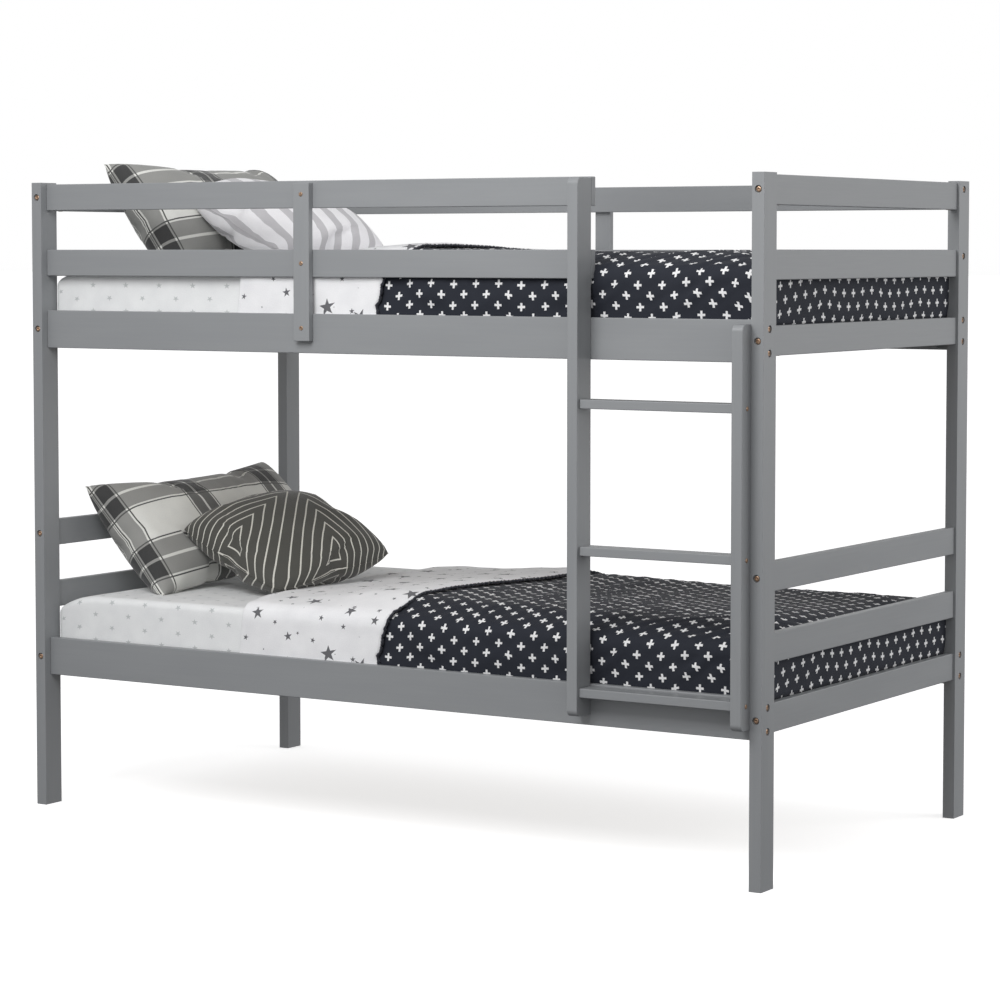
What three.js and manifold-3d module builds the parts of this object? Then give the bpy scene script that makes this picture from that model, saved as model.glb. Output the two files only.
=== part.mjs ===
// Twin-over-twin bunk bed with a fixed ladder: four posts, bolted rails, slatted bases,
// guard rails, and the bedding of both bunks. Millimetres, +Z up. The head ends point
// to -X, the ladder stands on the front, which faces -Y, and the origin is at the
// middle of the whole footprint, on the floor.

import * as THREE from 'three';
import { mergeVertices } from 'three/addons/utils/BufferGeometryUtils.js';
import Module from 'manifold-3d';

const wasm = await Module();
wasm.setup();

// ---- driving dimensions -----------------------------------------------------------
// Places are measured from the outer face of the head posts (x), from the front face
// of the front posts (y) and from the floor (z).

const BED_LENGTH = 1990;
const BED_WIDTH = 1065;
const BED_HEIGHT = 1520;
const BUNK_PITCH = 800;          // from the lower bunk to the upper one

const POST_THICKNESS = 29;       // along x
const POST_DEPTH = 58;           // along y
const RAIL_THICKNESS = 18;
const GAP = 0.3;                 // clearance where two pieces meet

const SIDE_RAIL_BOTTOM = 320;
const SIDE_RAIL_HEIGHT = 91;
const LEDGER_SIZE = 20;          // square strip that carries the slats
const LEDGER_TOP = 345;

const END_RAIL_HEIGHT = 64;
const LOWER_END_RAIL_CENTRES = [365.5, 515, 667];
const UPPER_END_RAIL_CENTRES = [1166, 1326, 1484];

const GUARD_HEIGHT = 63;
const GUARD_CENTRES = [1326.5, 1484.5];
const STRIP_WIDTH = 44;
const STRIP_THICKNESS = 16.5;
const STRIP_BOTTOM = 1148;
const STRIP_TOP = 1511;
const FRONT_STRIP_CENTRE = 800;

const STILE_WIDTH = 26;
const STILE_DEPTH = 59;
const STILE_BOTTOM = 345;
const LEFT_STILE_TOP = 1514;
const RIGHT_STILE_TOP = 1202;
const STILE_CORNER = 15;         // radius of the rounded front corners
const LADDER_CLEAR_WIDTH = 374;
const RUNG_THICKNESS = 20;
const RUNG_DEPTH = 50;
const RUNG_TOPS = [407, 716, 1035];

const SLAT_COUNT = 10;
const SLAT_WIDTH = 75;
const SLAT_THICKNESS = 18;
const SLAT_END_MARGIN = 70;      // from the end rail to the first slat

const BOLT_POCKET_RADIUS = 8.2;
const BOLT_POCKET_DEPTH = 5;
const BOLT_PAIR_SPACING = 51;
const GUARD_BOLT_RAISE = 16;     // above the middle of the guard rail
const POCKET_SIDES = 16;

const MATTRESS = { length: 1920, width: 975, thickness: 150, corner: 40, edge: 18 };
const DUVET = { headEdge: 600, thickness: 32, skirt: 6, footSkirt: 8, drop: 120 };
const PILLOW = { width: 690, height: 350, thickness: 130 };
const CUSHION = { width: 380, height: 380, thickness: 120 };

// ---- derived places ---------------------------------------------------------------

const SIDE_RAIL_FRONT = (POST_DEPTH - RAIL_THICKNESS) / 2;
const SIDE_RAIL_INNER = SIDE_RAIL_FRONT + RAIL_THICKNESS;
const END_RAIL_OUTER = (POST_THICKNESS - RAIL_THICKNESS) / 2;
const END_RAIL_INNER = END_RAIL_OUTER + RAIL_THICKNESS;
const RIGHT_STILE_END = BED_LENGTH - POST_THICKNESS;
const RIGHT_STILE_START = RIGHT_STILE_END - STILE_WIDTH;
const LEFT_STILE_END = RIGHT_STILE_START - LADDER_CLEAR_WIDTH;
const LEFT_STILE_START = LEFT_STILE_END - STILE_WIDTH;
const LADDER_FRONT = SIDE_RAIL_FRONT - GAP - STILE_DEPTH;
const SLAT_TOP = LEDGER_TOP + GAP + SLAT_THICKNESS;
const MATTRESS_BOTTOM = SLAT_TOP + GAP;
const MATTRESS_TOP = MATTRESS_BOTTOM + MATTRESS.thickness;

// ---- materials --------------------------------------------------------------------

const finish = (color, roughness) => new THREE.MeshStandardMaterial({ color, roughness });
const paintedWood = finish(0x8b8e91, 0.45);
const bareWood = finish(0xcdb48c, 0.7);
const ticking = finish(0xe9e9e6, 0.9);
const duvetCloth = finish(0x2b2d35, 0.85);
const plaidCloth = finish(0xc9c8c0, 0.9);
const stripedCloth = finish(0x55534f, 0.9);
const paleStripedCloth = finish(0xd6d5d6, 0.9);

const bed = new THREE.Group();
bed.position.set(-BED_LENGTH / 2, -(BED_WIDTH + LADDER_FRONT) / 2, 0);

// ---- helpers ----------------------------------------------------------------------

function toSolid(geometry) {
  const bare = geometry.clone();
  bare.deleteAttribute('normal');
  bare.deleteAttribute('uv');
  const merged = mergeVertices(bare);
  return new wasm.Manifold(new wasm.Mesh({
    numProp: 3,
    vertProperties: new Float32Array(merged.attributes.position.array),
    triVerts: new Uint32Array(merged.index.array),
  }));
}

function toGeometry(solid) {
  const mesh = solid.getMesh();
  const geometry = new THREE.BufferGeometry();
  geometry.setAttribute('position', new THREE.BufferAttribute(mesh.vertProperties, 3));
  geometry.setIndex(new THREE.BufferAttribute(mesh.triVerts, 1));
  geometry.computeVertexNormals();
  return geometry;
}

function place(name, geometry, material, x, y, z) {
  const mesh = new THREE.Mesh(geometry, material);
  mesh.name = name;
  mesh.position.set(x, y, z);
  bed.add(mesh);
  return mesh;
}

function boxBetween(x, y, z) {
  const geometry = new THREE.BoxGeometry(x[1] - x[0], y[1] - y[0], z[1] - z[0]);
  return geometry.translate((x[0] + x[1]) / 2, (y[0] + y[1]) / 2, (z[0] + z[1]) / 2);
}

// A plain board given by its lowest and highest place along each axis.
function board(name, x, y, z, material = paintedWood) {
  const geometry = new THREE.BoxGeometry(x[1] - x[0], y[1] - y[0], z[1] - z[0]);
  const centre = [x, y, z].map(([low, high]) => (low + high) / 2);
  return place(name, geometry, material, ...centre);
}

// The same place seen from the front or the back, and from the head or the foot.
const acrossWidth = (side, y) => (side === 'front' ? y : BED_WIDTH - y);
const alongLength = (end, x) => (end === 'head' ? x : BED_LENGTH - x);
const ordered = (a, b) => [Math.min(a, b), Math.max(a, b)];

// ---- posts ------------------------------------------------------------------------

function boltPocket(direction, face, z) {
  const pocket = new THREE.CylinderGeometry(
    BOLT_POCKET_RADIUS, BOLT_POCKET_RADIUS, BOLT_POCKET_DEPTH * 2, POCKET_SIDES);
  if (direction === 'x') pocket.rotateZ(Math.PI / 2).translate(face, 0, z);
  else pocket.translate(0, face, z);
  return toSolid(pocket);
}

// Each end rail but the middle one of three is bolted through the post's front or
// back face. Each side rail has a pair of bolts through the post's outer end face,
// and each guard rail that reaches the post has one.
function addPost(side, end) {
  const ySign = side === 'front' ? -1 : 1;
  const xSign = end === 'head' ? -1 : 1;
  const block = new THREE.BoxGeometry(POST_THICKNESS, POST_DEPTH, BED_HEIGHT);
  let post = toSolid(block.translate(0, 0, BED_HEIGHT / 2));
  for (const centres of [LOWER_END_RAIL_CENTRES, UPPER_END_RAIL_CENTRES]) {
    for (const z of [centres[0], centres[2]]) {
      post = post.subtract(boltPocket('y', ySign * POST_DEPTH / 2, z));
    }
  }
  const railCentre = SIDE_RAIL_BOTTOM + SIDE_RAIL_HEIGHT / 2;
  const endBolts = [0, BUNK_PITCH].flatMap((lift) => [
    railCentre + lift - BOLT_PAIR_SPACING / 2,
    railCentre + lift + BOLT_PAIR_SPACING / 2,
  ]);
  if (side === 'back' || end === 'head') {
    endBolts.push(...GUARD_CENTRES.map((z) => z + GUARD_BOLT_RAISE));
  }
  for (const z of endBolts) {
    post = post.subtract(boltPocket('x', xSign * POST_THICKNESS / 2, z));
  }
  place(`post_${side}_${end}`, toGeometry(post), paintedWood,
    alongLength(end, POST_THICKNESS / 2), acrossWidth(side, POST_DEPTH / 2), 0);
}

for (const side of ['front', 'back']) {
  for (const end of ['head', 'foot']) addPost(side, end);
}

// ---- side rails, each with its glued slat ledger ----------------------------------

const betweenPosts = [POST_THICKNESS + GAP, BED_LENGTH - POST_THICKNESS - GAP];
const bunks = [{ bunk: 'lower', lift: 0 }, { bunk: 'upper', lift: BUNK_PITCH }];

function addSideRail(side, bunk, lift) {
  const z = [SIDE_RAIL_BOTTOM, SIDE_RAIL_BOTTOM + SIDE_RAIL_HEIGHT];
  const rail = boxBetween(
    betweenPosts,
    ordered(acrossWidth(side, SIDE_RAIL_FRONT), acrossWidth(side, SIDE_RAIL_INNER)), z);
  const ledger = boxBetween(
    [betweenPosts[0] + POST_DEPTH / 2, betweenPosts[1] - POST_DEPTH / 2],
    ordered(acrossWidth(side, SIDE_RAIL_INNER - 1),
      acrossWidth(side, SIDE_RAIL_INNER + LEDGER_SIZE)),
    [LEDGER_TOP - LEDGER_SIZE, LEDGER_TOP]);
  const joined = toSolid(rail).add(toSolid(ledger));
  place(`side_rail_${side}_${bunk}`, toGeometry(joined), paintedWood, 0, 0, lift);
}

// ---- end rails, guard rails and their strips --------------------------------------

const endRailSpan = [POST_DEPTH + GAP, BED_WIDTH - POST_DEPTH - GAP];

function addEndRails(end, bunk, centres) {
  const x = ordered(alongLength(end, END_RAIL_OUTER), alongLength(end, END_RAIL_INNER));
  ['bottom', 'middle', 'top'].forEach((level, i) => {
    const z = [centres[i] - END_RAIL_HEIGHT / 2, centres[i] + END_RAIL_HEIGHT / 2];
    board(`end_rail_${end}_${bunk}_${level}`, x, endRailSpan, z);
  });
}

function addGuards(side, x, stripCentre) {
  const y = ordered(acrossWidth(side, SIDE_RAIL_FRONT), acrossWidth(side, SIDE_RAIL_INNER));
  ['lower', 'upper'].forEach((level, i) => {
    const z = [GUARD_CENTRES[i] - GUARD_HEIGHT / 2, GUARD_CENTRES[i] + GUARD_HEIGHT / 2];
    board(`guard_rail_${side}_${level}`, x, y, z);
  });
  const stripY = ordered(
    acrossWidth(side, SIDE_RAIL_FRONT - GAP),
    acrossWidth(side, SIDE_RAIL_FRONT - GAP - STRIP_THICKNESS));
  board(`guard_strip_${side}`,
    [stripCentre - STRIP_WIDTH / 2, stripCentre + STRIP_WIDTH / 2], stripY,
    [STRIP_BOTTOM, STRIP_TOP]);
}

addGuards('front', [betweenPosts[0], LEFT_STILE_END], FRONT_STRIP_CENTRE);
addGuards('back', betweenPosts, BED_LENGTH / 2);

// ---- ladder -----------------------------------------------------------------------

// A stile's outline seen from the foot end, with its two front corners rounded.
function stileGeometry(length) {
  const r = STILE_CORNER;
  const outline = new THREE.Shape();
  outline.moveTo(STILE_DEPTH, 0);
  outline.lineTo(STILE_DEPTH, length);
  outline.lineTo(r, length);
  outline.absarc(r, length - r, r, Math.PI / 2, Math.PI, false);
  outline.lineTo(0, r);
  outline.absarc(r, r, r, Math.PI, 1.5 * Math.PI, false);
  outline.closePath();
  const stile = new THREE.ExtrudeGeometry(outline, {
    depth: STILE_WIDTH, bevelEnabled: false, curveSegments: 8,
  });
  // shape x becomes y, shape y becomes z, and the extrusion runs along x
  const turn = new THREE.Matrix4().makeBasis(
    new THREE.Vector3(0, 1, 0), new THREE.Vector3(0, 0, 1), new THREE.Vector3(1, 0, 0));
  return stile.applyMatrix4(turn);
}

place('ladder_stile_left', stileGeometry(LEFT_STILE_TOP - STILE_BOTTOM), paintedWood,
  LEFT_STILE_START, LADDER_FRONT, STILE_BOTTOM);
place('ladder_stile_right', stileGeometry(RIGHT_STILE_TOP - STILE_BOTTOM), paintedWood,
  RIGHT_STILE_START, LADDER_FRONT, STILE_BOTTOM);

RUNG_TOPS.forEach((top, i) => {
  const back = LADDER_FRONT + STILE_DEPTH;
  board(`ladder_rung_${i + 1}`,
    [LEFT_STILE_END + GAP, RIGHT_STILE_START - GAP],
    [back - RUNG_DEPTH, back], [top - RUNG_THICKNESS, top]);
});

// ---- slats ------------------------------------------------------------------------

function addSlats(bunk, lift) {
  const first = END_RAIL_INNER + SLAT_END_MARGIN;
  const pitch = (BED_LENGTH - 2 * first) / (SLAT_COUNT - 1);
  const y = [SIDE_RAIL_INNER + GAP * 2, BED_WIDTH - SIDE_RAIL_INNER - GAP * 2];
  const z = [LEDGER_TOP + GAP + lift, SLAT_TOP + lift];
  for (let i = 0; i < SLAT_COUNT; i += 1) {
    const centre = first + i * pitch;
    board(`slat_${bunk}_${i + 1}`,
      [centre - SLAT_WIDTH / 2, centre + SLAT_WIDTH / 2], y, z, bareWood);
  }
}

for (const { bunk, lift } of bunks) {
  for (const side of ['front', 'back']) addSideRail(side, bunk, lift);
  for (const end of ['head', 'foot']) {
    addEndRails(end, bunk, lift === 0 ? LOWER_END_RAIL_CENTRES : UPPER_END_RAIL_CENTRES);
  }
  addSlats(bunk, lift);
}

// ---- mattresses and duvets --------------------------------------------------------

function roundedRectangle(length, width, r) {
  const x = length / 2;
  const y = width / 2;
  const outline = new THREE.Shape();
  outline.absarc(x - r, y - r, r, 0, Math.PI / 2, false);
  outline.absarc(-x + r, y - r, r, Math.PI / 2, Math.PI, false);
  outline.absarc(-x + r, -y + r, r, Math.PI, 1.5 * Math.PI, false);
  outline.absarc(x - r, -y + r, r, 1.5 * Math.PI, 2 * Math.PI, false);
  outline.closePath();
  return outline;
}

// A block with rounded upright corners and rounded top and bottom edges, on z = 0.
function softBlock(length, width, height, corner, edge) {
  const outline = roundedRectangle(length - 2 * edge, width - 2 * edge, corner - edge);
  const block = new THREE.ExtrudeGeometry(outline, {
    depth: height - 2 * edge, curveSegments: 5, bevelEnabled: true,
    bevelThickness: edge, bevelSize: edge, bevelSegments: 3,
  });
  return block.translate(0, 0, edge);
}

function addMattress(bunk, lift) {
  const m = MATTRESS;
  place(`mattress_${bunk}`, softBlock(m.length, m.width, m.thickness, m.corner, m.edge),
    ticking, BED_LENGTH / 2, BED_WIDTH / 2, MATTRESS_BOTTOM + lift);
}

// The duvet lies on the mattress from the turned-down edge to the foot, and hangs
// between the mattress and the rails at both sides and at the foot.
function addDuvet(bunk, lift) {
  const mattressEnd = (BED_LENGTH + MATTRESS.length) / 2;
  const footEdge = mattressEnd + DUVET.footSkirt;
  const width = MATTRESS.width + 2 * DUVET.skirt;
  const height = DUVET.drop + DUVET.thickness;
  const cover = softBlock(footEdge - DUVET.headEdge + MATTRESS.corner, width, height,
    MATTRESS.corner, MATTRESS.edge);
  cover.translate((footEdge + DUVET.headEdge - MATTRESS.corner) / 2, BED_WIDTH / 2,
    MATTRESS_TOP - DUVET.drop);
  const m = MATTRESS;
  const core = softBlock(m.length + 2 * GAP, m.width + 2 * GAP, m.thickness + GAP,
    m.corner, m.edge);
  core.translate(BED_LENGTH / 2, BED_WIDTH / 2, MATTRESS_BOTTOM);
  const beyondEdge = boxBetween(
    [0, DUVET.headEdge], [0, BED_WIDTH], [0, BED_HEIGHT]);
  const shell = toSolid(cover).subtract(toSolid(core)).subtract(toSolid(beyondEdge));
  place(`duvet_${bunk}`, toGeometry(shell), duvetCloth, 0, 0, lift);
}

// ---- pillows ----------------------------------------------------------------------

// A stuffed pillow lying flat: crowned both ways, thin at the seam, with its sides
// drawn in between the corners. It is two grids of points that share their rim.
function pillowGeometry({ width, height, thickness }) {
  const columns = 10;
  const rows = 8;
  const drawIn = 0.06;
  const rimShare = 0.12;
  const positions = [];
  const index = [];
  const point = (i, j, face) => {
    const u = (2 * i) / columns - 1;
    const v = (2 * j) / rows - 1;
    const x = (width / 2) * u * (1 - drawIn * (1 - v * v));
    const y = (height / 2) * v * (1 - drawIn * (1 - u * u));
    const crown = rimShare + (1 - rimShare) * Math.sqrt((1 - u * u) * (1 - v * v));
    positions.push(x, y, face * (thickness / 2) * crown);
  };
  const stride = rows + 1;
  const faceSize = (columns + 1) * stride;
  for (const face of [1, -1]) {
    for (let i = 0; i <= columns; i += 1) {
      for (let j = 0; j <= rows; j += 1) point(i, j, face);
    }
  }
  const quad = (a, b, c, d) => index.push(a, b, c, a, c, d);
  for (let i = 0; i < columns; i += 1) {
    for (let j = 0; j < rows; j += 1) {
      const a = i * stride + j;
      quad(a, a + stride, a + stride + 1, a + 1);
      quad(a + faceSize, a + faceSize + 1, a + faceSize + stride + 1, a + faceSize + stride);
    }
  }
  for (let i = 0; i < columns; i += 1) {
    const low = i * stride;
    const high = i * stride + rows;
    quad(low, low + faceSize, low + faceSize + stride, low + stride);
    quad(high, high + stride, high + stride + faceSize, high + faceSize);
  }
  for (let j = 0; j < rows; j += 1) {
    const right = columns * stride + j;
    quad(j, j + 1, j + 1 + faceSize, j + faceSize);
    quad(right, right + faceSize, right + 1 + faceSize, right + 1);
  }
  const geometry = new THREE.BufferGeometry();
  geometry.setAttribute('position', new THREE.Float32BufferAttribute(positions, 3));
  geometry.setIndex(index);
  geometry.computeVertexNormals();
  return geometry;
}

// Lays a pillow with its width along the vector across and its top edge towards up.
function addPillow(name, shape, material, centre, across, up) {
  const w = new THREE.Vector3(...across).normalize();
  const n = new THREE.Vector3().crossVectors(w, new THREE.Vector3(...up)).normalize();
  const h = new THREE.Vector3().crossVectors(n, w);
  const pillow = place(name, pillowGeometry(shape), material, ...centre);
  pillow.quaternion.setFromRotationMatrix(new THREE.Matrix4().makeBasis(w, h, n));
}

for (const { bunk, lift } of bunks) {
  addMattress(bunk, lift);
  addDuvet(bunk, lift);
}

addPillow('pillow_lower', PILLOW, plaidCloth,
  [168, 500, 661], [0.04, 1, 0.03], [-0.67, 0, 0.74]);
addPillow('cushion_lower', CUSHION, stripedCloth,
  [446, 430, 641], [0.235, 0.957, 0.17], [-0.907, 0.155, 0.39]);
addPillow('pillow_upper', PILLOW, plaidCloth,
  [192, 525, 1451], [0.02, 1, -0.03], [-0.74, 0.03, 0.67]);
addPillow('cushion_upper', CUSHION, paleStripedCloth,
  [462, 430, 1457], [0.235, 0.957, 0.17], [-0.9, 0.15, 0.41]);

const root = new THREE.Group();
root.add(bed);
export default root;
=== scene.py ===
"""Looks of a twin-over-twin bunk bed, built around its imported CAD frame.

Places are worked out in millimetres from the bed's corner on the floor: x from the head
posts, y from the front face of the front posts, z from the floor. They become metres in
the frame's own axes when a piece is made.
"""

import math
from functools import reduce

import bpy
import numpy as np
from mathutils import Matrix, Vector, noise


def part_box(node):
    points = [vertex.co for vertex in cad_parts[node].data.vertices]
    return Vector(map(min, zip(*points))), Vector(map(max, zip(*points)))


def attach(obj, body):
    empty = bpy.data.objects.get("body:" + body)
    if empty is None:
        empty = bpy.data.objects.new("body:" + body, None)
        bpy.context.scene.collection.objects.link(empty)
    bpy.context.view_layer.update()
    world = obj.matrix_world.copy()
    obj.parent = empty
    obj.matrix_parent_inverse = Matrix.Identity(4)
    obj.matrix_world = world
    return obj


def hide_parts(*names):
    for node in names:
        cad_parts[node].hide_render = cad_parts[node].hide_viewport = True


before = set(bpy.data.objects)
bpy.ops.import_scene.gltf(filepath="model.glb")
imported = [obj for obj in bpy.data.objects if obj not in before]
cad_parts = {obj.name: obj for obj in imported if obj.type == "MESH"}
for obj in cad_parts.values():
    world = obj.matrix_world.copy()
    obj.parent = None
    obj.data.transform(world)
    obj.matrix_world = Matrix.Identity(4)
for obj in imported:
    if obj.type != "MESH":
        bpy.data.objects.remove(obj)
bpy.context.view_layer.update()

MM = 0.001
TAU = 2 * math.pi
ORIGIN = np.array(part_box("post_front_head")[0])
BUNKS = ("lower", "upper")


def span(node):
    """Lowest and highest corner of a CAD node, in millimetres from the bed's corner."""
    low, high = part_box(node)
    return (np.array(low) - ORIGIN) / MM, (np.array(high) - ORIGIN) / MM


def metres(points):
    """Points in millimetres from the bed's corner, as metres in the frame's axes."""
    return np.asarray(points, float) * MM + ORIGIN


BED_LENGTH, BED_WIDTH = span("post_back_foot")[1][:2]
BUNK_PITCH = span("mattress_upper")[0][2] - span("mattress_lower")[0][2]
LIFT = {"lower": np.zeros(3), "upper": np.array([0, 0, BUNK_PITCH])}


# ---- camera, lights and floor ----

CAMERA_PLACE = (4917, -5720, 1354.2)
CAMERA_YAW = 0.5588
CAMERA_PITCH = math.radians(3.5)
CAMERA_LENS = 110.3
CAMERA_SHIFT = -0.0613
CAMERA_SIGHT = 400  # metres, past the floor's edge
FLOOR_REACH = 150  # metres, so that its edge lies on the horizon
FLOOR_GLOW = 0.6


def add_camera():
    data = bpy.data.cameras.new("camera")
    data.lens = CAMERA_LENS
    data.sensor_width = 36
    data.shift_y = CAMERA_SHIFT
    data.clip_end = CAMERA_SIGHT
    camera = bpy.data.objects.new("camera", data)
    camera.location = metres(CAMERA_PLACE)
    camera.rotation_euler = (math.pi / 2 - CAMERA_PITCH, 0, CAMERA_YAW)
    bpy.context.scene.collection.objects.link(camera)
    bpy.context.scene.camera = camera


def add_light(name, place, target, size, power):
    """A square soft light at one place, turned to another, both in bed millimetres."""
    data = bpy.data.lights.new(name, "AREA")
    data.size = size
    data.energy = power
    light = bpy.data.objects.new(name, data)
    light.location = metres(place)
    way = Vector(metres(target) - metres(place))
    light.rotation_euler = way.to_track_quat("-Z", "Y").to_euler()
    bpy.context.scene.collection.objects.link(light)


def add_studio():
    scene = bpy.context.scene
    scene.view_settings.view_transform = "Standard"
    scene.world = studio_world()
    add_light("key", (1350, -2300, 2900), (1200, 0, 1250), 1.6, 66)
    add_light("side", (4900, 2300, 1700), (BED_LENGTH, BED_WIDTH / 2, 800), 3.0, 48)
    mesh = bpy.data.meshes.new("floor")
    reach = FLOOR_REACH
    corners = [(-reach, -reach, 0), (reach, -reach, 0), (reach, reach, 0), (-reach, reach, 0)]
    mesh.from_pydata(corners, [], [(0, 1, 2, 3)])
    floor = bpy.data.objects.new("floor", mesh)
    material, _, _ = new_material("pale_floor", {
        "Base Color": (0.93, 0.93, 0.93, 1), "Roughness": 0.9, "Specular IOR Level": 0.1,
        "Emission Color": (1, 1, 1, 1), "Emission Strength": FLOOR_GLOW,
    })
    mesh.materials.append(material)
    scene.collection.objects.link(floor)
    floor.visible_diffuse = False
    floor.visible_glossy = False


def studio_world():
    """A white band along the horizon, with softer light above it and little below."""
    world = bpy.data.worlds.new("studio")
    world.use_nodes = True
    tree = world.node_tree
    height = parts_of(tree, tree.nodes.new("ShaderNodeTexCoord").outputs["Generated"])[2]
    above = blend_colours(ramp(height, 0.16, 0.4), (1.0, 1.0, 1.0), (0.5, 0.5, 0.505))
    colour = blend_colours(ramp(height, -0.12, 0.0), (0.16, 0.16, 0.165), above)
    tree.links.new(colour, tree.nodes["Background"].inputs["Color"])
    return world


# ---- shader arithmetic ----

class Field:
    """A number that varies over a surface. Arithmetic on it adds math nodes."""

    def __init__(self, tree, socket):
        self.tree = tree
        self.socket = socket

    def math(self, operation, *values):
        node = self.tree.nodes.new("ShaderNodeMath")
        node.operation = operation
        fill(node, values)
        return Field(self.tree, node.outputs[0])

    def __add__(self, other):
        return self.math("ADD", self, other)

    def __sub__(self, other):
        return self.math("SUBTRACT", self, other)

    def __rsub__(self, other):
        return self.math("SUBTRACT", other, self)

    def __mul__(self, other):
        return self.math("MULTIPLY", self, other)

    def __truediv__(self, other):
        return self.math("DIVIDE", self, other)

    def __abs__(self):
        return self.math("ABSOLUTE", self)

    def minimum(self, other):
        return self.math("MINIMUM", self, other)

    def maximum(self, other):
        return self.math("MAXIMUM", self, other)

    def below(self, other):
        """1 where this is less than other, and 0 elsewhere."""
        return self.math("LESS_THAN", self, other)

    def fraction(self):
        return self.math("FRACT", self)

    def floor(self):
        return self.math("FLOOR", self)

    def root(self):
        return self.math("SQRT", self)

    def sine(self):
        return self.math("SINE", self)

    def cosine(self):
        return self.math("COSINE", self)

    def angle_to(self, other):
        return self.math("ARCTAN2", self, other)

    def off_centre(self, pitch, shift=0.0):
        """The distance from the middle of the repeat that this falls in."""
        return ((self / pitch + shift).fraction() - 0.5) * pitch


def fill(node, values):
    """Sets a node's inputs in turn to plain numbers, or joins varying ones to them."""
    for slot, value in zip(node.inputs, values):
        if isinstance(value, Field):
            value.tree.links.new(value.socket, slot)
        else:
            slot.default_value = value


def new_material(name, values):
    """A material, its node tree and its shader, which has these constant values."""
    material = bpy.data.materials.new(name)
    material.use_nodes = True
    shader = material.node_tree.nodes["Principled BSDF"]
    for socket, value in values.items():
        shader.inputs[socket].default_value = value
    return material, material.node_tree, shader


def vector_of(tree, *parts):
    node = tree.nodes.new("ShaderNodeCombineXYZ")
    fill(node, parts)
    return node.outputs[0]


def parts_of(tree, socket, kind="ShaderNodeSeparateXYZ"):
    """The three numbers in a vector or in a colour."""
    split = tree.nodes.new(kind)
    tree.links.new(socket, split.inputs[0])
    return [Field(tree, out) for out in split.outputs]


def place_of(tree):
    """Where a point of a piece is, in metres, along x, y and z."""
    return parts_of(tree, tree.nodes.new("ShaderNodeTexCoord").outputs["Object"])


def flat_place(tree):
    """Where a point of a cloth lies on its flat cut, in millimetres."""
    coordinates = tree.nodes.new("ShaderNodeUVMap")
    coordinates.uv_map = "cloth"
    return [part / MM for part in parts_of(tree, coordinates.outputs[0])[:2]]


def cloudy(tree, vector, detail=3):
    """Noise from 0 to 1 with features about one unit wide."""
    node = tree.nodes.new("ShaderNodeTexNoise")
    node.inputs["Scale"].default_value = 1.0
    node.inputs["Detail"].default_value = detail
    node.inputs["Roughness"].default_value = 0.55
    tree.links.new(vector, node.inputs["Vector"])
    return Field(tree, node.outputs[0])


def dice(tree, *parts):
    """Three random numbers from 0 to 1 for each whole-numbered cell."""
    node = tree.nodes.new("ShaderNodeTexWhiteNoise")
    tree.links.new(vector_of(tree, *parts), node.inputs["Vector"])
    return parts_of(tree, node.outputs["Color"], "ShaderNodeSeparateColor")


def ramp(field, low, high, start=0.0, end=1.0):
    """A varying number taken smoothly from low..high to start..end."""
    node = field.tree.nodes.new("ShaderNodeMapRange")
    node.interpolation_type = "SMOOTHSTEP"
    values = (low, high, start, end)
    for name, value in zip(("From Min", "From Max", "To Min", "To Max"), values):
        node.inputs[name].default_value = value
    field.tree.links.new(field.socket, node.inputs["Value"])
    return Field(field.tree, node.outputs["Result"])


def blend_colours(share, low, high, way="MIX"):
    """The colour low where share is 0 and high where it is 1; each a colour or a socket."""
    node = share.tree.nodes.new("ShaderNodeMix")
    node.data_type = "RGBA"
    node.blend_type = way
    share.tree.links.new(share.socket, node.inputs["Factor"])
    for name, colour in (("A", low), ("B", high)):
        slot = [i for i in node.inputs if i.name == name and i.type == "RGBA"][0]
        if isinstance(colour, tuple):
            slot.default_value = (*colour, 1)
        else:
            share.tree.links.new(colour, slot)
    return [o for o in node.outputs if o.type == "RGBA"][0]


def set_input(shader, name, value):
    """Joins a varying number or colour to the shader."""
    socket = value.socket if isinstance(value, Field) else value
    shader.id_data.links.new(socket, shader.inputs[name])


def raise_surface(shader, height, distance, strength):
    """Bump: height is 0 to 1, and distance its full depth in metres."""
    tree = shader.id_data
    node = tree.nodes.new("ShaderNodeBump")
    node.inputs["Distance"].default_value = distance
    node.inputs["Strength"].default_value = strength
    tree.links.new(height.socket, node.inputs["Height"])
    tree.links.new(node.outputs[0], shader.inputs["Normal"])


# ---- wood and metal ----

PAINT_DARK = (0.256, 0.265, 0.275)
PAINT_LIGHT = (0.274, 0.283, 0.292)


def stretched(tree, axis, along, across):
    """Place scaled for grain that runs along one axis; along and across per metre."""
    scales = [across] * 3
    scales[axis] = along
    return vector_of(tree, *(p * s for p, s in zip(place_of(tree), scales)))


def painted_wood(axis):
    """Satin grey paint on pine. The grain shows through it faintly, along one axis."""
    material, tree, shader = new_material(f"painted_wood_{'xyz'[axis]}", {})
    grain = cloudy(tree, stretched(tree, axis, 5, 170), 4)
    patches = cloudy(tree, stretched(tree, axis, 2.5, 14), 2)
    brushed = cloudy(tree, stretched(tree, axis, 12, 900), 2)
    share = ramp(patches * 0.7 + grain * 0.3, 0.3, 0.7)
    set_input(shader, "Base Color", blend_colours(share, PAINT_DARK, PAINT_LIGHT))
    set_input(shader, "Roughness", ramp(patches * 0.5 + brushed * 0.5, 0.3, 0.7, 0.36, 0.48))
    raise_surface(shader, grain * 0.7 + brushed * 0.3, 0.0004, 0.2)
    return material


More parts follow.
